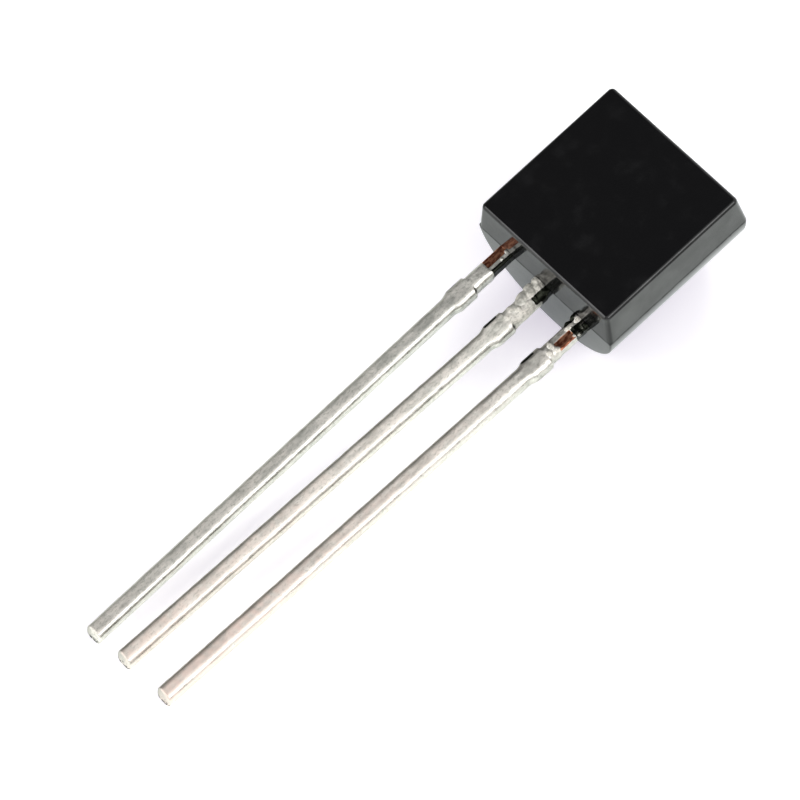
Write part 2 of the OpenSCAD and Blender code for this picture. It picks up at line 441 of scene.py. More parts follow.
@dataclass(frozen=True)
class MouldedEpoxy:
    """Black epoxy moulding compound, transfer-moulded in a polished cavity.

    Carbon black makes it nearly black all through. The polished mould leaves a gloss, which
    the silica filler breaks up a little, so mirror images in it are dim and slightly soft.
    Just under the parting line, a dashed line of painted shade stands for the crease there.
    """

    colour: str = "#121213"
    faded: str = "#1A1A1B"
    faded_range: tuple[float, float] = (0.5, 0.8)
    index: tuple[float, float] = (1.42, 1.54)
    index_range: tuple[float, float] = (0.3, 0.7)
    roughness: tuple[float, float] = (0.07, 0.16)
    roughness_range: tuple[float, float] = (0.3, 0.75)
    cloud_size: float = 0.7
    grain_size: float = 0.06
    grain_depth: float = 0.00012
    wave_size: float = 0.9
    wave_depth: float = 0.0012
    # Painted shade for the crease just under the parting line.
    seam_shade_colour: str = "#0B0B0B"
    seam_level: float = -0.04
    seam_fade: tuple[float, float] = (0.12, 0.04)
    seam_dash: float = 0.16
    dash_range: tuple[float, float] = (0.34, 0.6)
    dash_share: tuple[float, float] = (0.35, 0.7)

    def seam_shade(self, tree: bpy.types.NodeTree, frame: PackageFrame) -> bpy.types.NodeSocket:
        """Painted shade in the crease just under where the mould halves met, broken into dashes.

        Args:
            tree: The node tree.
            frame: The package's place.

        Returns:
            The line's share of the surface.
        """
        place = add_node(tree, "SeparateXYZ", {0: object_pattern(tree, (1.0, 1.0, 1.0), frame.tilt)})
        level = float(frame.origin @ frame.axes[2]) / MM + self.seam_level
        height = calculate(tree, "ABSOLUTE", calculate(tree, "SUBTRACT", place.outputs["Z"], level))
        near = ramp(tree, height, self.seam_fade)
        dashes = noise(tree, (self.seam_dash,) * 3, frame.tilt, 1.0)
        return calculate(tree, "MULTIPLY", near, ramp(tree, dashes, self.dash_range, self.dash_share))

    def material(self, frame: PackageFrame) -> bpy.types.Material:
        """Builds the material.

        Args:
            frame: The package's place.

        Returns:
            A material with cloudy gloss, fine grain, shallow waves and painted shade
            along the parting line.
        """
        material, tree = new_material("moulded_epoxy")
        tilt = frame.tilt
        clouds = noise(tree, (self.cloud_size,) * 3, tilt)
        grain = noise(tree, (self.grain_size,) * 3, tilt, 2.0)
        waves = noise(tree, (self.wave_size,) * 3, tilt, 1.0)
        film = ramp(tree, clouds, self.faded_range)
        pitted = add_node(
            tree, "Bump", {"Height": grain, "Distance": MM * self.grain_depth, "Strength": 1.0}
        )
        uneven = add_node(
            tree,
            "Bump",
            {
                "Height": waves,
                "Distance": MM * self.wave_depth,
                "Strength": 1.0,
                "Normal": pitted.outputs[0],
            },
        )
        shader = add_node(
            tree,
            "BsdfPrincipled",
            {
                "Base Color": blend_colours(tree, film, srgb(self.colour), srgb(self.faded)),
                "Roughness": ramp(tree, clouds, self.roughness_range, self.roughness),
                "IOR": ramp(tree, clouds, self.index_range, self.index),
                "Normal": uneven.outputs[0],
            },
        )
        # A dull near-black, painted as shade along the parting line.
        painted_seam_shade = add_node(tree, "BsdfDiffuse", {"Color": srgb(self.seam_shade_colour)})
        line = self.seam_shade(tree, frame)
        lined = add_node(tree, "MixShader", {0: line, 1: shader.outputs[0], 2: painted_seam_shade.outputs[0]})
        add_node(tree, "OutputMaterial", {"Surface": lined.outputs[0]})
        return material


@dataclass(frozen=True)
class DippedCopper:
    """Stamped copper alloy, dipped in tin-lead solder.

    The solder froze to a pale grey skin: a frosted top with specks and drawn-out streaks, and
    brighter sides. Next to the body the bare copper shows, tarnished brown, and flux and
    soldering heat have left an almost black char. The same near-black is painted as the dark
    body's reflection on one neck and as shade under the cut tips. A darker solder tone is
    painted as shade on each lead's +y side.
    """

    solder: str = "#EDEAE3"
    solder_dull: str = "#C9C9C2"
    solder_speck: str = "#A3A59A"
    solder_warm: str = "#F1DDD2"
    # A darker solder tone, painted as shade on each lead's +y side.
    solder_side_shade: str = "#A9A69F"
    copper: str = "#BC8468"
    copper_dark: str = "#73402E"
    # Near-black for the char, and for painted shade under the cut tips and a painted reflection of the
    # body.
    char_shade_and_reflection_colour: str = "#23251F"
    warm_share: float = 0.85
    speck_share: float = 0.6
    side_roughness: tuple[float, float] = (0.24, 0.36)
    top_roughness: float = 0.8
    copper_roughness: float = 0.42
    streak_size: tuple[float, float, float] = (1.6, 0.05, 0.05)
    streak_depth: float = 0.0008
    grit_size: float = 0.05
    grit_depth: float = 0.0008
    patch_size: tuple[float, float, float] = (0.5, 0.22, 0.22)
    patch_range: tuple[float, float] = (0.3, 0.62)
    polish_range: tuple[float, float] = (0.3, 0.7)
    speck_size: tuple[float, float, float] = (0.09, 0.05, 0.05)
    speck_range: tuple[float, float] = (0.48, 0.68)
    tarnish_size: tuple[float, float, float] = (0.16, 0.07, 0.07)
    tarnish_range: tuple[float, float] = (0.4, 0.62)
    raggedness: float = 1.2
    bare_range: tuple[float, float] = (0.42, 0.58)
    char_shade_and_reflection_range: tuple[float, float] = (0.4, 0.64)

    def solder_tone(
        self, tree: bpy.types.NodeTree, tilt: float, patches: bpy.types.NodeSocket
    ) -> bpy.types.NodeSocket:
        """The solder's colour: patches of two tones with specks, warm by attribute, and a darker
        tone painted as shade where the dim attribute says.

        Args:
            tree: The node tree.
            tilt: The package's lean, in radians.
            patches: The noise that the patches follow.

        Returns:
            The colour socket.
        """
        patchy = ramp(tree, patches, self.patch_range)
        dipped = blend_colours(tree, patchy, srgb(self.solder_dull), srgb(self.solder))
        specks = noise(tree, self.speck_size, tilt, 3.0, 0.65)
        specked = ramp(tree, specks, self.speck_range, (0.0, self.speck_share))
        speckled = blend_colours(tree, specked, dipped, srgb(self.solder_speck))
        warm = calculate(tree, "MULTIPLY", attribute(tree, "warmth"), self.warm_share)
        warmed = blend_colours(tree, warm, speckled, srgb(self.solder_warm))
        # Painted shade on the +y side, where the dim attribute is set.
        return blend_colours(tree, attribute(tree, "dim"), warmed, srgb(self.solder_side_shade))

    def relief(self, tree: bpy.types.NodeTree, tilt: float) -> bpy.types.NodeSocket:
        """The fine relief of streaks and grit.

        Args:
            tree: The node tree.
            tilt: The package's lean, in radians.

        Returns:
            The normal socket.
        """
        streaks = noise(tree, self.streak_size, tilt, 2.0)
        grit = noise(tree, (self.grit_size,) * 3, tilt)
        height = calculate(
            tree,
            "ADD",
            calculate(tree, "MULTIPLY", streaks, self.streak_depth),
            calculate(tree, "MULTIPLY", grit, self.grit_depth),
        )
        bump = add_node(tree, "Bump", {"Height": height, "Distance": MM, "Strength": 1.0})
        return bump.outputs[0]

    def material(self, tilt: float) -> bpy.types.Material:
        """Builds the material.

        The mesh's attributes say where it is bare, warm, matte or dim, and where it is near-black:
        char, painted shade under the cut tips and a painted reflection of the body. The edges of
        bare and near-black places are made ragged by the tarnish.

        Args:
            tilt: The package's lean, in radians.

        Returns:
            A metal that changes from solder to tarnished copper.
        """
        material, tree = new_material("solder_dipped_copper")
        patches = noise(tree, self.patch_size, tilt, 4.0, 0.6)
        tarnish = noise(tree, self.tarnish_size, tilt)
        uneven = calculate(tree, "SUBTRACT", tarnish, 0.5)
        ragged = calculate(tree, "MULTIPLY", uneven, self.raggedness)
        bared = ramp(tree, calculate(tree, "ADD", attribute(tree, "bare"), ragged), self.bare_range)
        # Near-black share: char, painted shade under the tips and a painted reflection of the body.
        char_shade_and_reflection_share = ramp(
            tree, calculate(tree, "ADD", attribute(tree, "char_shade_and_reflection"), ragged), self.char_shade_and_reflection_range
        )
        browned = ramp(tree, tarnish, self.tarnish_range)
        tarnished = blend_colours(tree, browned, srgb(self.copper_dark), srgb(self.copper))
        metal = blend_colours(tree, bared, self.solder_tone(tree, tilt, patches), tarnished)
        polish = ramp(tree, patches, self.polish_range, self.side_roughness)
        frosted = blend_numbers(tree, attribute(tree, "matte"), polish, self.top_roughness)
        shader = add_node(
            tree,
            "BsdfPrincipled",
            {
                "Base Color": blend_colours(tree, char_shade_and_reflection_share, metal, srgb(self.char_shade_and_reflection_colour)),
                "Metallic": 1.0,
                "Roughness": blend_numbers(tree, bared, frosted, self.copper_roughness),
                "Normal": self.relief(tree, tilt),
            },
        )
        add_node(tree, "OutputMaterial", {"Surface": shader.outputs[0]})
        return material


@dataclass(frozen=True)
class InnerMetal:
    """A metal or semiconductor sealed in the resin, with a fine grain from how it was made."""

    name: str
    colour: str
    shade: str
    roughness: tuple[float, float]
    grain: tuple[float, float, float]
    shade_range: tuple[float, float] = (0.35, 0.65)
    gloss_range: tuple[float, float] = (0.3, 0.7)

    def material(self, tilt: float) -> bpy.types.Material:
        """Builds the material: two tones and a gloss that follow one grain.

        Args:
            tilt: The package's lean, in radians.

        Returns:
            A metallic material.
        """
        material, tree = new_material(self.name)
        grain = noise(tree, self.grain, tilt)
        share = ramp(tree, grain, self.shade_range)
        shader = add_node(
            tree,
            "BsdfPrincipled",
            {
                "Base Color": blend_colours(tree, share, srgb(self.shade), srgb(self.colour)),
                "Metallic": 1.0,
                "Roughness": ramp(tree, grain, self.gloss_range, self.roughness),
            },
        )
        add_node(tree, "OutputMaterial", {"Surface": shader.outputs[0]})
        return material


# Polished silicon, sawn from a wafer: a dark blue-grey mirror.
SILICON = InnerMetal("polished_silicon", "#6E7490", "#4C5068", (0.05, 0.12), (0.2, 0.2, 0.2))
# High-lead solder under the chip, spread as it melted: dull grey and grainy.
SOFT_SOLDER = InnerMetal("high_lead_solder", "#9A9CA0", "#6F7174", (0.4, 0.6), (0.05, 0.05, 0.05))
# Gold bond wire, drawn through a die: bright, with marks along its length.
DRAWN_GOLD = InnerMetal("drawn_gold", "#E8C070", "#C99A4A", (0.15, 0.3), (0.15, 0.01, 0.01))


@dataclass
class MouldedBody:
    """The epoxy body: a drafted half up to the flat face and a rounded half below it.

    The halves stand a little out of line. Two rows a support apart lie beside the rim and the
    parting line, so that smooth shading keeps the faces flat. The bevel at the parting line
    goes by its depths and insets, which are counted in its own size.
    """

    width: float = 4.512
    length: float = 4.54
    back_length: float = 4.5
    flat_height: float = 1.1
    back_depth: float = 2.25
    flat_draft: float = math.radians(5.8)
    back_draft: float = math.radians(1.0)
    flat_shift: float = 0.016
    back_shift: float = 0.04
    upright_radius: float = 0.13
    rim_radius: float = 0.1
    back_rim_radius: float = 0.05
    least_radius: float = 0.01
    parting_bevel: float = 0.012
    bevel_depths: tuple[float, ...] = (0.0, 1.0, 2.0, 4.0)
    bevel_insets: tuple[float, ...] = (2.5, 1.2, 0.4, 0.0)
    support: float = 0.006
    rim_steps: int = 6
    back_steps: int = 72
    outline: Outline = field(default_factory=lambda: Outline.sampled(36, 36, 8))
    finish: MouldedEpoxy = field(default_factory=MouldedEpoxy)

    @property
    def flat_centre(self) -> tuple[float, float, float]:
        """The middle of the CAD model's flat face, in package millimetres."""
        return (self.back_length / 2, 0.0, self.flat_height)

    def flat_half(self) -> np.ndarray:
        """Rows of the upper half, from the flat face down to the parting plane.

        A row is the rounded rectangle of the flat face set out by an amount. Round the rim
        the amount and the height follow an arc of angle a, from upright to the wall:
        centre + radius * (cos a, sin a). Down the wall the amount grows with the draft.

        Returns:
            Points in an array of rows by samples by 3, in package millimetres.
        """
        lean, radius = self.flat_draft, self.rim_radius
        centre_out = -radius * (1 - math.sin(lean)) / math.cos(lean)
        turn = np.linspace(math.pi / 2, lean, self.rim_steps + 1)
        rim_out = centre_out + radius * np.cos(turn)
        rim_drop = radius - radius * np.sin(turn)
        wall_drop = np.array(
            [
                rim_drop[-1] + self.support,
                self.flat_height / 2,
                self.flat_height - self.parting_bevel - self.support,
                self.flat_height - self.parting_bevel,
            ]
        )
        wall_out = wall_drop * math.tan(lean)
        out = np.concatenate(
            [
                [centre_out - 2 * self.support, centre_out - self.support],
                rim_out,
                wall_out,
                [self.flat_height * math.tan(lean) - self.parting_bevel],
            ]
        )
        drop = np.concatenate([[0, 0], rim_drop, wall_drop, [self.flat_height]])
        radii = self.upright_radius + np.minimum(0, out - rim_out[-1])
        inset = self.flat_height * math.tan(lean)
        half = np.array((self.length / 2 - inset, self.width / 2 - inset)) + out[:, None]
        flat = self.outline.rows(half, np.maximum(radii, self.least_radius))
        flat += (self.length / 2, self.flat_shift)
        level = np.broadcast_to((self.flat_height - drop)[:, None, None], (*flat.shape[:2], 1))
        return np.concatenate([flat, level], -1)

    def round_half(self) -> np.ndarray:
        """Rows of the lower half, from the parting plane down to the crown of the back.

        The back is a half circle: at depth z its half width is the root of R^2 - z^2. Each
        end wall meets it in a fillet of radius r. At an angle a round the fillet, the back's
        radius is R - r (1 - sin a) and the wall is set in by r (1 - cos a). Rows deeper than
        R - r start at the angle whose radius is that depth.

        Returns:
            Points in an array of rows by samples by 3, in package millimetres.
        """
        big, small = self.back_depth, self.back_rim_radius
        round_depth = big * np.sin(np.linspace(0, math.pi / 2, self.back_steps + 1))[2:]
        bevel = self.parting_bevel * np.array([self.bevel_depths, self.bevel_insets])
        depth = np.concatenate([bevel[0], round_depth])[:, None]
        inset = np.concatenate([bevel[1], np.zeros(len(round_depth))])[:, None]
        away = np.abs(self.outline.outward)
        angle = np.arctan2(away[:, 1], away[:, 0])
        first = np.arcsin(np.clip(1 - (big - depth) / small, 0, 1))
        turn = first + (math.pi / 2 - first) * angle / (math.pi / 2)
        radius = big - inset - small * (1 - np.sin(turn))
        reach = self.back_length / 2 - depth * math.tan(self.back_draft) - inset
        sign = np.sign(self.outline.outward[:, 0].round(9))
        along = self.outline.inner[:, 0] * (reach - small) + sign * small * np.cos(turn)
        across = self.outline.inner[:, 1] * np.sqrt(np.maximum(radius**2 - depth**2, 0))
        level = np.broadcast_to(-depth, along.shape)
        return np.stack([along, across, level], -1) + (self.length / 2, self.back_shift, 0.0)

    def build(self, frame: PackageFrame) -> bpy.types.Object:
        """Makes one closed shell of both halves.

        Args:
            frame: The package's place.

        Returns:
            The piece that stands for the body's CAD node.
        """
        rows = np.concatenate([self.flat_half(), self.round_half()])
        faces = tube_faces(*rows.shape[:2])[:-1]
        piece = new_piece(
            "moulded_body", frame.place(rows.reshape(-1, 3)), faces, np.ones(len(faces), bool)
        )
        close_seams(piece)
        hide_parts("epoxy_body")
        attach(piece, "root")
        return piece

    def dress(self, piece: bpy.types.Object, frame: PackageFrame) -> None:
        """Gives the body its finish."""
        piece.data.materials.append(self.finish.material(frame))


@dataclass(frozen=True)
class Lump:
    """A dome of solder or char on a lead, in millimetres: its middle, its size and its height."""

    distance: float
    across: float
    up: float
    radius: float
    height: float
    stretch: float = 1.0


@dataclass(frozen=True)
class Patch:
    """A stretch of a lead's surface.

    It reaches between two distances from the body and two places round the section. A place
    is the way across from the middle of the top, and on down the side, positive towards +y.
    """

    distances: tuple[float, float]
    places: tuple[float, float]
    edge: float = 0.03

    def share(self, distance: np.ndarray, place: np.ndarray) -> np.ndarray:
        """Gives 1 inside the patch and 0 outside, with soft edges.

        Args:
            distance: Distances from the body.
            place: Places round the section.

        Returns:
            The product of a smooth step over each edge.
        """
        inside = np.ones(np.broadcast(distance, place).shape)
        for value, (low, high) in ((distance, self.distances), (place, self.places)):
            inside *= smooth_step((value - low) / self.edge + 0.5)
            inside *= smooth_step((high - value) / self.edge + 0.5)
        return inside


def patches_share(patches: tuple[Patch, ...], distance: np.ndarray, place: np.ndarray) -> np.ndarray:
    """The largest share of several patches, and 0 where there are none."""
    shares = [patch.share(distance, place) for patch in patches]
    return np.max([np.zeros(np.broadcast(distance, place).shape), *shares], axis=0)


class Mark(Enum):
    """What a patch of a lead's surface looks like."""

    BARE = "bare"
    # Char, and on the base lead a painted reflection of the dark body.
    CHARRED = "charred"
    POLISHED = "polished"


@dataclass(frozen=True)
class SolderState:
    """What the dipping left on one lead.

    Lengths are in millimetres from the body. Dullness and warmth have two values each, for
    the neck and for farther out.
    """

    dipped_from: float
    top_radius: float
    slope: float
    lumps: tuple[Lump, ...]
    beads: int
    bead_reach: float
    bead_height: float
    patches: dict[Mark, tuple[Patch, ...]]
    dullness: tuple[float, float]
    warmth: tuple[float, float]
    seed: int


class Dip(Enum):
    """How well the solder took on a lead."""

    CLEAN = SolderState(
        dipped_from=0.62,
        top_radius=0.16,
        slope=0.0,
        lumps=(
            Lump(0.02, -0.02, 0.2, 0.05, 0.035),
            Lump(0.22, -0.1, 0.2, 0.045, 0.03),
            Lump(1.0, 0.05, 0.21, 0.22, 0.012, 1.6),
        ),
        beads=4,
        bead_reach=0.7,
        bead_height=0.012,
        patches={
            Mark.BARE: (Patch((-1.0, 0.62), (-0.04, 0.6)),),
            Mark.CHARRED: (
                Patch((1.4, 1.74), (0.26, 0.42), 0.08),
                Patch((-1.0, 0.61), (-0.9, -0.13)),
            ),
            Mark.POLISHED: (Patch((0.35, 1.18), (-0.3, -0.12)),),
        },
        dullness=(0.48, 0.6),
        warmth=(0.0, 0.12),
        seed=11,
    )
    LUMPY = SolderState(
        dipped_from=0.1,
        top_radius=0.18,
        slope=0.21,
        lumps=(
            Lump(0.02, 0.2, 0.14, 0.2, 0.12, 1.1),
            Lump(0.3, 0.22, 0.1, 0.18, 0.12, 1.2),
            Lump(0.55, 0.2, 0.12, 0.16, 0.08, 1.3),
            Lump(0.1, 0.06, 0.21, 0.14, 0.07, 1.3),
            Lump(0.36, 0.08, 0.21, 0.12, 0.06, 1.4),
            Lump(0.62, 0.1, 0.21, 0.13, 0.035, 2.0),
            Lump(0.85, -0.02, 0.22, 0.11, 0.045, 0.8),
            Lump(0.98, 0.12, 0.2, 0.14, 0.03, 1.2),
            Lump(0.8, -0.2, 0.1, 0.2, 0.03, 2.0),
            Lump(1.15, 0.0, 0.22, 0.13, 0.02, 1.0),
        ),
        beads=30,
        bead_reach=1.5,
        bead_height=0.03,
        patches={
            Mark.BARE: (),
            Mark.CHARRED: (
                Patch((1.35, 1.76), (0.18, 0.42), 0.08),
                # These two paint the dark body's reflection on the -y side of the neck, in the char
                # colour.
                Patch((-1.0, 0.3), (-0.9, -0.04), 0.1),
                Patch((-1.0, 0.47), (-0.32, -0.03), 0.08),
            ),
            Mark.POLISHED: (Patch((0.5, 1.3), (-0.7, -0.1)),),
        },
        dullness=(0.68, 0.64),
        warmth=(0.05, 0.55),
        seed=23,
    )
    SCORCHED = SolderState(
        dipped_from=0.9,
        top_radius=0.17,
        slope=0.18,
        lumps=(
            Lump(0.05, 0.24, 0.14, 0.14, 0.09, 1.2),
            Lump(0.3, 0.22, 0.12, 0.1, 0.05, 1.2),
            Lump(0.02, 0.09, 0.21, 0.06, 0.05, 2.4),
            Lump(0.33, 0.1, 0.2, 0.06, 0.04, 2.4),
            Lump(0.06, -0.14, 0.2, 0.13, 0.06, 1.2),
            Lump(0.26, -0.18, 0.17, 0.1, 0.05, 1.2),
            Lump(0.05, -0.26, 0.05, 0.09, 0.05),
            Lump(0.3, 0.0, 0.21, 0.045, 0.04),
            Lump(0.4, -0.15, 0.2, 0.045, 0.045),
            Lump(0.98, 0.05, 0.21, 0.12, 0.03, 0.7),
            Lump(1.12, -0.08, 0.21, 0.12, 0.03, 0.7),
        ),
        beads=14,
        bead_reach=1.3,
        bead_height=0.02,
        patches={
            Mark.BARE: (Patch((0.38, 0.9), (-0.24, 0.045)),),
            Mark.CHARRED: (
                Patch((1.38, 1.8), (0.18, 0.42), 0.08),
                Patch((-1.0, 0.38), (-0.9, 0.03), 0.06),
                Patch((-1.0, 0.42), (0.14, 0.9), 0.06),
            ),
            Mark.POLISHED: (Patch((0.9, 1.2), (-0.7, -0.08)),),
        },
        dullness=(0.26, 0.52),
        warmth=(0.1, 0.85),
        seed=37,
    )


@dataclass
class DippedLead:
    """One lead: a stamped strip with a dam bar stub and a coat of solder.

    The part in the resin is the CAD node's own, cut off just inside the body. The part
    outside is a section carried along the lead's middle line. It starts a little inside the
    body, and the two parts overlap there.
    """

    node: str
    middle_y: float
    cut_length: float
    lean: float
    dip: Dip
    width: float = 0.42
    thickness: float = 0.41
    coat: float = 0.02
    coat_fade: float = 0.12
    bare_radius: float = 0.05
    low_radius: float = 0.16
    least_radius: float = 0.004
    stub_start: float = 1.17
    stub_length: float = 0.78
    stub_out: float = 0.06
    stub_edge: float = 0.07
    stub_slope: float = 0.26
    bend_length: float = 0.4
    embedded: float = 0.25
    overlap: float = 0.02
    root_fade: float = 0.03
    cad_meeting: float = 1e-4
    fine_length: float = 2.3
    fine_step: float = 0.0125
    coarse_step: float = 0.05
    tip_radius: float = 0.03
    tip_steps: int = 5
    tip_slant: float = 0.1
    tip_fade: float = 0.2
    # Painted shade on the underside of the cut tip, where it lies on the floor.
    tip_shade_length: float = 0.06
    tip_shade_level: tuple[float, float] = (0.067, 0.233)
    tip_shade_share: float = 0.6
    wave_sizes: tuple[float, float] = (0.6, 0.22)
    wave_height: float = 0.0018
    crust_size: float = 0.09
    crust_height: float = 0.006
    crust_rise: float = 0.03
    lump_rise: float = 0.02
    lump_matte: float = 0.9
    # How much a lump hides the char and the painted reflection under it.
    lump_over_char_and_reflection: float = 0.35
    cover_rise: float = 0.012
    bare_depth: float = 0.012
    top_facing: tuple[float, float] = (0.82, 0.96)
    side_facing: tuple[float, float] = (0.25, 0.65)
    dull_stretch: tuple[float, float] = (2.0, 3.4)
    warmth_waves: float = 0.3
    outline: Outline = field(default_factory=lambda: Outline.sampled(14, 20, 8))

    def stations(self) -> tuple[np.ndarray, np.ndarray]:
        """Distances from the body, and how far the section is set in there.

        The steps are fine along the neck and coarse along the tail. At the cut tip the rim
        follows a quarter circle of angle a: s = length - r (1 - sin a), set in r (1 - cos a).

        Returns:
            Two arrays with one number for each row.
        """
        neck = np.arange(-self.embedded, self.fine_length, self.fine_step)
        end = self.cut_length - self.tip_radius
        steps = round((end - self.fine_length) / self.coarse_step)
        tail = np.linspace(self.fine_length, end, steps + 1)[:-1]
        turn = np.linspace(0, math.pi / 2, self.tip_steps + 1)
        rim = self.cut_length - self.tip_radius * (1 - np.sin(turn))
        inset = np.zeros(len(neck) + len(tail))
        return (
            np.concatenate([neck, tail, rim]),
            np.concatenate([inset, self.tip_radius * (1 - np.cos(turn))]),
        )

    def stub(self, distance: np.ndarray) -> np.ndarray:
        """How far the trimmed dam bar stands out: steep towards the body, sloping to the tip.

        Args:
            distance: Distances from the body.

        Returns:
            The lower of a rising and a falling smooth step, times the stub's reach.
        """
        rise = smooth_step((distance - self.stub_start) / self.stub_edge)
        fall = smooth_step((self.stub_start + self.stub_length - distance) / self.stub_slope)
        return self.stub_out * np.minimum(rise, fall)

    def section(self, distance: np.ndarray, inset: np.ndarray) -> np.ndarray:
        """Draws the lead's section at each distance.

        It goes from the stamped rectangle to the dipped one, whose upper corners are rounder
        and whose top slopes down to one side: a point rises by slope * across, and less so
        the nearer it is to the underside.

        Args:
            distance: Distances from the body.
            inset: How far each section is set in.

        Returns:
            Points in an array of rows by samples by 2: across and up.
        """
        state = self.dip.value
        dipped = smooth_step((distance - state.dipped_from) / self.coat_fade + 0.5)
        coat = self.coat * dipped
        half = np.stack(
            [self.width / 2 + coat + self.stub(distance), self.thickness / 2 + coat / 2], -1
        )
        half -= inset[:, None]
        lower = self.low_radius - inset
        upper = self.bare_radius + (state.top_radius - self.bare_radius) * dipped - inset
        points = self.outline.rows(
            half, np.maximum(lower, self.least_radius), np.maximum(upper, self.least_radius)
        )
        share = points[..., 1] / self.thickness + 0.5
        points[..., 1] += state.slope * dipped[:, None] * points[..., 0] * share
        points[..., 1] += coat[:, None] / 2
        return points

    def lumps(self, surface: np.ndarray) -> np.ndarray:
        """Height of the lumps and of small scattered beads over the neck.

        Each is a dome h (1 - d^2 / r^2) of the distance d from its middle, which is counted
        shorter along the lead by the lump's stretch. The highest dome counts, so that there
        are creases between them.

        Args:
            surface: Points of the lead as distance, across and up.

        Returns:
            Heights in an array of rows by samples.
        """
        state = self.dip.value
        draw = np.random.default_rng(state.seed)
        turn = draw.uniform(-0.25 * math.pi, 1.1 * math.pi, state.beads)
        beads = np.stack(
            [
                state.bead_reach * draw.uniform(0, 1, state.beads),
                self.width / 2 * np.cos(turn),
                self.thickness / 2 * np.sin(turn),
                draw.uniform(0.05, 0.13, state.beads),
                state.bead_height * draw.uniform(0.3, 1, state.beads),
                draw.uniform(0.8, 2.0, state.beads),
            ],
            -1,
        )
        placed = [
            (d.distance, d.across, d.up, d.radius, d.height, d.stretch) for d in state.lumps
        ]
        domes = np.concatenate([np.array(placed), beads])
        apart = surface[:, :, None] - domes[:, :3]
        apart[..., 0] /= domes[:, 5]
        near = np.linalg.norm(apart, axis=-1) / domes[:, 3]
        return (domes[:, 4] * np.maximum(1 - near**2, 0)).max(-1)

    def middle_line(self, distance: np.ndarray) -> tuple[np.ndarray, np.ndarray]:
        """The lead's middle line, and its heading.

        The heading turns from straight out to the lead's lean over the stub, and the line is
        the running sum of its steps along the heading.

        Args:
            distance: Distances from the body.

        Returns:
            The line as rows by 2, x and y, and the heading of each row in radians.
        """
        heading = self.lean * smooth_step((distance - self.stub_start) / self.bend_length)
        step = np.diff(distance, prepend=distance[0])
        line = np.stack([-np.cumsum(step * np.cos(heading)), np.cumsum(step * np.sin(heading))], -1)
        return line + (self.embedded, self.middle_y), heading

    def marks(
        self, drawn: np.ndarray, lump: np.ndarray, shares: dict[Mark, np.ndarray], uneven: np.ndarray
    ) -> dict[str, np.ndarray]:
        """Works out the attributes that the finish reads.

        The top is matte, and so are the lumps. The +y side gets painted shade, a darker solder
        tone. The solder gets warmer towards the tip, and the underside of the cut tip gets painted
        shade where it meets the floor.

        Args:
            drawn: The sections, in an array of rows by samples by 2.
            lump: Heights of the lumps, by rows and samples.
            shares: What each kind of patch covers, by rows and samples.
            uneven: The surface's slow waves, by rows and samples.

        Returns:
            Arrays of rows by samples, by attribute name.
        """
        state = self.dip.value
        distance = self.stations()[0]
        lumpy = smooth_step(lump / self.lump_rise)
        top = rise(self.outline.outward[:, 1], self.top_facing)
        # Painted shade on the +y side of the section, kept off the lumps.
        shaded_side = rise(self.outline.outward[:, 0], self.side_facing)
        # Painted shade on the underside of the cut tip.
        at_cut = smooth_step(1 - (self.cut_length - distance) / self.tip_shade_length)[:, None]
        low = rise(-drawn[..., 1] / self.thickness, self.tip_shade_level)
        # Char, and the painted reflection of the body on the base lead's neck.
        charred = shares[Mark.CHARRED]
        uncovered_char_and_reflection = charred * (1 - self.lump_over_char_and_reflection * smooth_step(lump / self.crust_rise))
        warmth = np.interp(distance, (self.dull_stretch[0], self.cut_length), state.warmth)
        dullness = np.interp(distance, self.dull_stretch, state.dullness)[:, None]
        frosted = dullness * top * (1 - shares[Mark.POLISHED])
        return {
            "bare": shares[Mark.BARE] * (1 - lumpy),
            "char_shade_and_reflection": np.maximum(uncovered_char_and_reflection, self.tip_shade_share * at_cut * low),
            "warmth": np.clip(warmth[:, None] * (1 + self.warmth_waves * uneven), 0, 1),
            "matte": np.maximum(frosted, self.lump_matte * lumpy) * (1 - charred),
            "dim": shaded_side * (1 - lumpy),
        }

    def outside(self) -> tuple[np.ndarray, dict[str, np.ndarray]]:
        """Works out the part outside the body.

        Returns:
            Points in an array of rows by samples by 3, in package millimetres, and the
            attributes that the finish reads, in arrays of rows by samples.
        """
        state = self.dip.value
        distance, inset = self.stations()
        drawn = self.section(distance, inset)
        along = np.broadcast_to(distance[:, None, None], (*drawn.shape[:2], 1))
        surface = np.concatenate([along, drawn], -1)
        across, up = drawn[..., 0], drawn[..., 1]
        place = across + np.sign(across) * np.maximum(self.thickness / 2 - up, 0)
        shares = {
            mark: patches_share(patches, along[..., 0], place)
            for mark, patches in state.patches.items()
        }
        near = distance < self.fine_length
        lump = np.zeros(drawn.shape[:2])
        lump[near] = self.lumps(surface[near])
        long_waves, short_waves = (
            Ripple(size, state.seed + number).at(surface)
            for number, size in enumerate(self.wave_sizes)
        )
        uneven = 0.5 * long_waves + short_waves
        crust = Ripple(self.crust_size, state.seed + 2).at(surface)
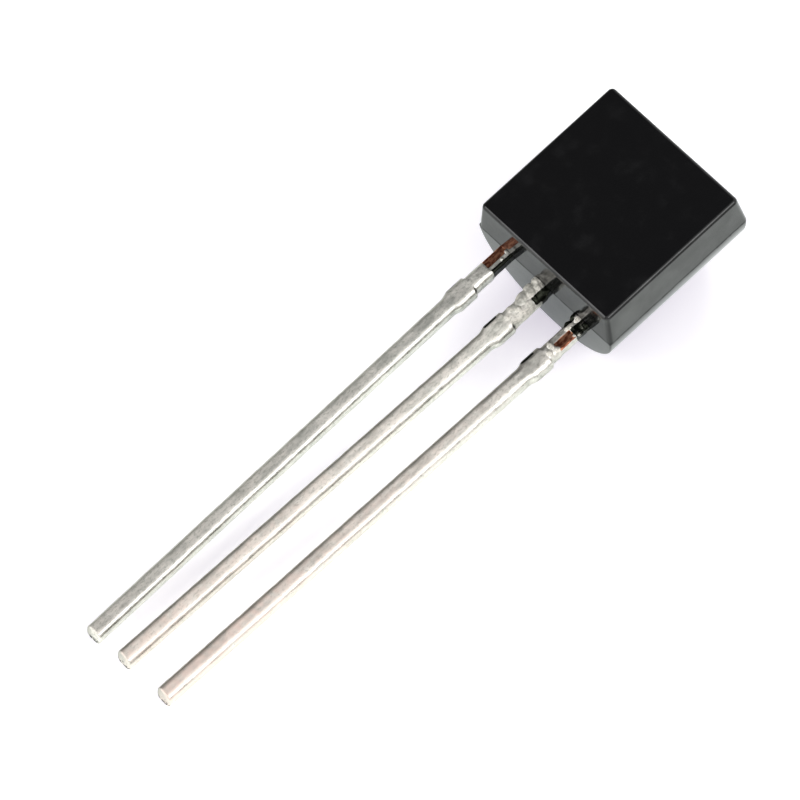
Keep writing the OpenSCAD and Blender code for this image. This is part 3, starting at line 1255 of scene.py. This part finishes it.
        # Bare copper, char and the painted body reflection carry no solder waves.
        bare_char_and_reflection = np.maximum(shares[Mark.BARE], shares[Mark.CHARRED])
        covered = np.maximum(1 - bare_char_and_reflection, smooth_step(lump / self.cover_rise))
        tip = smooth_step((self.cut_length - distance) / self.tip_fade)[:, None]
        height = (
            lump
            + self.crust_height * crust * smooth_step(lump / self.crust_rise)
            + self.wave_height * uneven * covered * tip
            - self.bare_depth * shares[Mark.BARE]
        )
        height *= smooth_step(distance / self.root_fade + 1.0)[:, None]
        drawn = drawn + height[..., None] * self.outline.outward
        across, up = drawn[..., 0], drawn[..., 1]
        line, heading = self.middle_line(distance)
        slant = self.tip_slant * (1 - tip) * up / self.thickness
        x = line[:, :1] + across * np.sin(heading)[:, None] + slant
        y = line[:, 1:] + across * np.cos(heading)[:, None]
        points = np.stack([x, y, up - self.thickness / 2], -1)
        return points, self.marks(drawn, lump, shares, uneven)

    def inside(self, cad: bpy.types.Object, frame: PackageFrame) -> tuple[np.ndarray, list[list[int]]]:
        """Cuts the part in the resin off a copy of the CAD node's mesh.

        Args:
            cad: The CAD node's object.
            frame: The package's place.

        Returns:
            Its points in row metres, and its faces.
        """
        copy = bmesh.new()
        copy.from_mesh(cad.data)
        bmesh.ops.remove_doubles(copy, verts=copy.verts, dist=self.cad_meeting * MM)
        cut = bmesh.ops.bisect_plane(
            copy,
            geom=[*copy.verts, *copy.edges, *copy.faces],
            plane_co=Vector(frame.place(np.array((self.embedded - self.overlap, 0, 0)))),
            plane_no=Vector(frame.axes[0]),
            clear_inner=True,
        )
        rim = [part for part in cut["geom_cut"] if isinstance(part, bmesh.types.BMEdge)]
        bmesh.ops.holes_fill(copy, edges=rim)
        copy.verts.index_update()
        points = np.array([vertex.co for vertex in copy.verts])
        faces = [[vertex.index for vertex in face.verts] for face in copy.faces]
        copy.free()
        return points, faces

    def build(self, cad: bpy.types.Object, frame: PackageFrame) -> bpy.types.Object:
        """Makes the lead as one piece.

        Args:
            cad: The CAD node's object.
            frame: The package's place.

        Returns:
            The piece that stands for the CAD node.
        """
        grid, values = self.outside()
        faces = tube_faces(*grid.shape[:2])
        outer = frame.place(grid.reshape(-1, 3))
        inner, inner_faces = self.inside(cad, frame)
        moved = [[number + len(outer) for number in face] for face in inner_faces]
        smooth = np.array([True] * len(faces) + [False] * len(moved))
        smooth[len(faces) - 2 : len(faces)] = False
        piece = new_piece(f"{self.node}_dipped", np.concatenate([outer, inner]), faces + moved, smooth)
        for name, value in values.items():
            rest = 1.0 if name == "bare" else 0.0
            paint(piece, name, np.concatenate([value.ravel(), np.full(len(inner), rest)]))
        close_seams(piece)
        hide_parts(self.node)
        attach(piece, "root")
        return piece


@dataclass
class Leads:
    """The three leads, in the order in which they leave the body."""

    pitch: float = 1.3
    shift: float = 0.015
    finish: DippedCopper = field(default_factory=DippedCopper)

    def members(self) -> list[DippedLead]:
        """The emitter, base and collector leads."""
        return [
            DippedLead(name, place * self.pitch + self.shift, length, math.radians(lean), dip)
            for name, place, length, lean, dip in (
                ("emitter_lead", 1, 13.45, -0.4, Dip.CLEAN),
                ("base_lead", 0, 13.38, 1.1, Dip.LUMPY),
                ("collector_lead", -1, 13.35, 0.9, Dip.SCORCHED),
            )
        ]

    def build(
        self, nodes: dict[str, bpy.types.Object], frame: PackageFrame
    ) -> list[bpy.types.Object]:
        """Makes all three leads."""
        return [lead.build(nodes[lead.node], frame) for lead in self.members()]

    def dress(self, pieces: list[bpy.types.Object], frame: PackageFrame) -> None:
        """Gives the leads one shared finish."""
        material = self.finish.material(frame.tilt)
        for piece in pieces:
            piece.data.materials.append(material)


@dataclass
class SealedParts:
    """The chip, the solder under it and its two wires, which keep their CAD shapes."""

    finishes: dict[str, InnerMetal] = field(
        default_factory=lambda: {
            "silicon_die": SILICON,
            "die_attach": SOFT_SOLDER,
            "emitter_bond_wire": DRAWN_GOLD,
            "base_bond_wire": DRAWN_GOLD,
        }
    )

    def dress(
        self, nodes: dict[str, bpy.types.Object], frame: PackageFrame
    ) -> list[bpy.types.Object]:
        """Gives each sealed part its finish.

        Args:
            nodes: The CAD nodes' objects, by name.
            frame: The package's place.

        Returns:
            The parts.
        """
        made = {finish.name: finish.material(frame.tilt) for finish in self.finishes.values()}
        for name, finish in self.finishes.items():
            nodes[name].data.materials.clear()
            nodes[name].data.materials.append(made[finish.name])
        return [nodes[name] for name in self.finishes]


@dataclass(frozen=True)
class Softbox:
    """A square soft light that faces the part. Its direction is in package coordinates."""

    name: str
    towards: tuple[float, float, float]
    distance: float
    side: float
    radiance: float
    mirrored: bool = True

    def build(self, frame: PackageFrame) -> bpy.types.Object:
        """Makes the light.

        A face of area A and even radiance L gives pi * A * L watts. A light that isn't
        mirrored casts light and shadow, but shows no image of itself in glossy faces.

        Args:
            frame: The package's place.

        Returns:
            The light's object.
        """
        lamp = bpy.data.lights.new(self.name, "AREA")
        lamp.shape = "SQUARE"
        lamp.size = self.side
        lamp.energy = math.pi * self.side**2 * self.radiance
        back = Vector(frame.direction(self.towards)).normalized()
        light = bpy.data.objects.new(self.name, lamp)
        light.visible_glossy = self.mirrored
        light.location = back * self.distance
        light.rotation_mode = "QUATERNION"
        light.rotation_quaternion = back.to_track_quat("Z", "Y")
        bpy.context.scene.collection.objects.link(light)
        return light


@dataclass
class Studio:
    """A white floor under a dim ceiling, four softboxes and the camera."""

    floor_half: float = 1.5
    floor_tone: str = "#F4F6F2"
    floor_bounce: tuple[float, float, float] = (0.95, 0.99, 0.89)
    floor_glow: tuple[float, float, float] = (0.32, 0.27, 0.39)
    mirror_glow: tuple[float, float, float] = (0.365, 0.385, 0.45)
    strip_slant: float = 0.21
    strip_near: tuple[float, float] = (0.0034, 0.0042)
    strip_far: tuple[float, float] = (0.014, 0.018)
    strip_start: tuple[float, float] = (-0.008, -0.014)
    strip_end: tuple[float, float] = (-0.05, -0.07)
    strip_dark: float = 0.9
    shade_start: tuple[float, float] = (0.0024, 0.0034)
    shade_end: tuple[float, float] = (0.0042, 0.005)
    shade_dark: float = 0.31
    ceiling_axis: tuple[float, float, float] = (0.22, 0.5, 0.84)
    ceiling_spread: tuple[float, float] = (0.951, 0.743)
    ceiling_dark: float = 0.05
    ceiling_light: float = 0.9
    window: tuple[float, float, float] = (0.45, -0.89, 0.0)
    window_spread: tuple[float, float] = (-0.55, 0.3)
    window_light: tuple[float, float] = (0.44, 1.0)
    gap_across: tuple[float, float] = (-0.75, -0.93)
    gap_up: tuple[float, float] = (0.4, 0.28)
    gap_dark: float = 0.2
    azimuth: float = math.radians(-42.1062)
    elevation: float = math.radians(61.442)
    roll: float = math.radians(1.0542)
    aim: tuple[float, float, float] = (0.18587, 0.57669, 0.96285)
    distance: float = 182.026
    lens: float = 347.664
    clip: tuple[float, float] = (0.01, 10.0)
    softboxes: tuple[Softbox, ...] = (
        Softbox("softbox_left", (-0.5, 0.34, 0.8), 0.8, 0.4, 3.0),
        Softbox("softbox_low", (-0.84, 0.35, 0.42), 0.8, 0.6, 1.4),
        Softbox("softbox_right", (0.2, -0.68, 0.7), 0.8, 0.42, 3.2),
        Softbox("softbox_back", (0.68, 0.28, 0.68), 0.8, 0.29, 4.5, mirrored=False),
    )

    def mirrored_shade(self, tree: bpy.types.NodeTree) -> bpy.types.NodeSocket:
        """How dark the floor is in mirror images.

        A dark strip lies beside the body, and a dim one in front of its lead end. Their places
        are in row metres.

        Args:
            tree: The floor's node tree.

        Returns:
            A share that is 0 on the open floor.
        """
        where = add_node(tree, "TexCoord")
        place = add_node(tree, "SeparateXYZ", {0: where.outputs["Object"]})
        x, y = place.outputs["X"], place.outputs["Y"]
        slanted = calculate(tree, "ADD", x, calculate(tree, "MULTIPLY", y, self.strip_slant))
        beside = calculate(
            tree,
            "MULTIPLY",
            band(tree, y, self.strip_start, self.strip_end, self.strip_dark),
            band(tree, slanted, self.strip_near, self.strip_far),
        )
        before = band(tree, x, self.shade_start, self.shade_end, self.shade_dark)
        return calculate(tree, "MAXIMUM", beside, before)

    def floor(self) -> bpy.types.Object:
        """Makes the floor, a white card that shows the part's soft shadow.

        Its glow is seen by the camera and in mirror images only, and lights nothing. In mirror
        images it is cooler, and dim or dark beside the body.

        Returns:
            The floor.
        """
        h = self.floor_half
        corners = np.array([(-h, -h, 0), (h, -h, 0), (h, h, 0), (-h, h, 0)])
        floor = new_piece("floor", corners, [[0, 1, 2, 3]], np.zeros(1, bool))
        material, tree = new_material("white_card")
        path = add_node(tree, "LightPath")
        mirrored = path.outputs["Is Glossy Ray"]
        seen = calculate(
            tree,
            "MAXIMUM",
            path.outputs["Is Camera Ray"],
            calculate(tree, "MAXIMUM", mirrored, path.outputs["Is Transmission Ray"]),
        )
        dimmed = calculate(tree, "MULTIPLY", mirrored, self.mirrored_shade(tree))
        card = add_node(tree, "BsdfDiffuse", {"Color": srgb(self.floor_tone)})
        tone = blend_colours(tree, dimmed, (*self.floor_bounce, 1.0), (0.0, 0.0, 0.0, 1.0))
        bounce = add_node(tree, "BsdfDiffuse", {"Color": tone})
        strength = calculate(tree, "SUBTRACT", 1.0, dimmed)
        tint = blend_colours(tree, mirrored, (*self.floor_glow, 1.0), (*self.mirror_glow, 1.0))
        glow = add_node(tree, "Emission", {"Color": tint, "Strength": strength})
        shown = add_node(tree, "AddShader", {0: bounce.outputs[0], 1: glow.outputs[0]})
        surface = add_node(tree, "MixShader", {0: seen, 1: card.outputs[0], 2: shown.outputs[0]})
        add_node(tree, "OutputMaterial", {"Surface": surface.outputs[0]})
        floor.data.materials.append(material)
        return floor

    def surroundings(self, frame: PackageFrame) -> None:
        """Lights the world: bright all round, dim overhead where the flat face looks.

        The light grows with the angle from the dim direction, and towards the window, which
        stops short of the table. The camera sees plain white.

        Args:
            frame: The package's place.
        """
        world = bpy.data.worlds.new("studio")
        world.use_nodes = True
        tree = world.node_tree
        tree.nodes.clear()
        ceiling, window = (
            Vector(frame.direction(way)).normalized() for way in (self.ceiling_axis, self.window)
        )
        where = add_node(tree, "TexCoord")
        overhead, facing, across, up = (
            add_node(
                tree,
                "VectorMath",
                {0: where.outputs["Generated"], 1: direction},
                operation="DOT_PRODUCT",
            ).outputs["Value"]
            for direction in (ceiling, window, Vector(frame.axes[1]), Vector(frame.axes[2]))
        )
        open_sky = ramp(
            tree, overhead, self.ceiling_spread, (self.ceiling_dark, self.ceiling_light)
        )
        windowed = ramp(tree, facing, self.window_spread, self.window_light)
        below_window = calculate(
            tree,
            "MULTIPLY",
            ramp(tree, across, self.gap_across),
            ramp(tree, up, self.gap_up, (0.0, self.gap_dark)),
        )
        kept = calculate(tree, "SUBTRACT", 1.0, below_window)
        level = calculate(tree, "MULTIPLY", calculate(tree, "MULTIPLY", open_sky, windowed), kept)
        path = add_node(tree, "LightPath")
        room = add_node(tree, "Background", {"Color": (1.0, 1.0, 1.0, 1.0), "Strength": level})
        white = add_node(tree, "Background", {"Color": (1.0, 1.0, 1.0, 1.0), "Strength": 1.0})
        seen = add_node(
            tree,
            "MixShader",
            {0: path.outputs["Is Camera Ray"], 1: room.outputs[0], 2: white.outputs[0]},
        )
        add_node(tree, "OutputWorld", {"Surface": seen.outputs[0]})
        bpy.context.scene.world = world

    def camera(self) -> bpy.types.Object:
        """Makes the camera at the picture's angle, far off with a long lens.

        Its back points along (sin a cos e, -cos a cos e, sin e), with azimuth a and elevation
        e, and it is then rolled round that direction.

        Returns:
            The camera, which becomes the scene's.
        """
        cos_a, sin_a = math.cos(self.azimuth), math.sin(self.azimuth)
        cos_e, sin_e = math.cos(self.elevation), math.sin(self.elevation)
        back = Vector((sin_a * cos_e, -cos_a * cos_e, sin_e))
        level_up = Vector((-sin_a * sin_e, cos_a * sin_e, cos_e))
        right = level_up.cross(back)
        up = level_up * math.cos(self.roll) + right * math.sin(self.roll)
        turn = Matrix((up.cross(back), up, back)).transposed().to_4x4()
        data = bpy.data.cameras.new("camera")
        data.lens = self.lens
        data.clip_start, data.clip_end = self.clip
        camera = bpy.data.objects.new("camera", data)
        camera.matrix_world = Matrix.Translation(MM * (Vector(self.aim) + back * self.distance)) @ turn
        bpy.context.scene.collection.objects.link(camera)
        bpy.context.scene.camera = camera
        return camera

    def build(self, frame: PackageFrame) -> None:
        """Sets up the floor, the world, the lights and the camera.

        Args:
            frame: The package's place.
        """
        self.floor()
        self.surroundings(frame)
        for box in self.softboxes:
            box.build(frame)
        self.camera()
        bpy.context.scene.view_settings.view_transform = "Standard"


def clear_scene() -> None:
    """Removes what a new file starts with."""
    for thing in list(bpy.data.objects):
        bpy.data.objects.remove(thing)


def main() -> None:
    """Builds, dresses and lights the part.
    """
    logging.basicConfig(level=logging.INFO, format="%(name)s: %(message)s")
    clear_scene()
    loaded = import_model()
    body = MouldedBody()
    frame = PackageFrame.from_record(loaded["record"], body.flat_centre)
    shell = body.build(frame)
    body.dress(shell, frame)
    leads = Leads()
    pieces = leads.build(loaded["nodes"], frame)
    leads.dress(pieces, frame)
    sealed = SealedParts().dress(loaded["nodes"], frame)
    for piece in [shell, *pieces, *sealed]:
        LOG.info("%s has %d faces", piece.name, len(piece.data.polygons))
    Studio().build(frame)


if __name__ == "__main__":
    main()
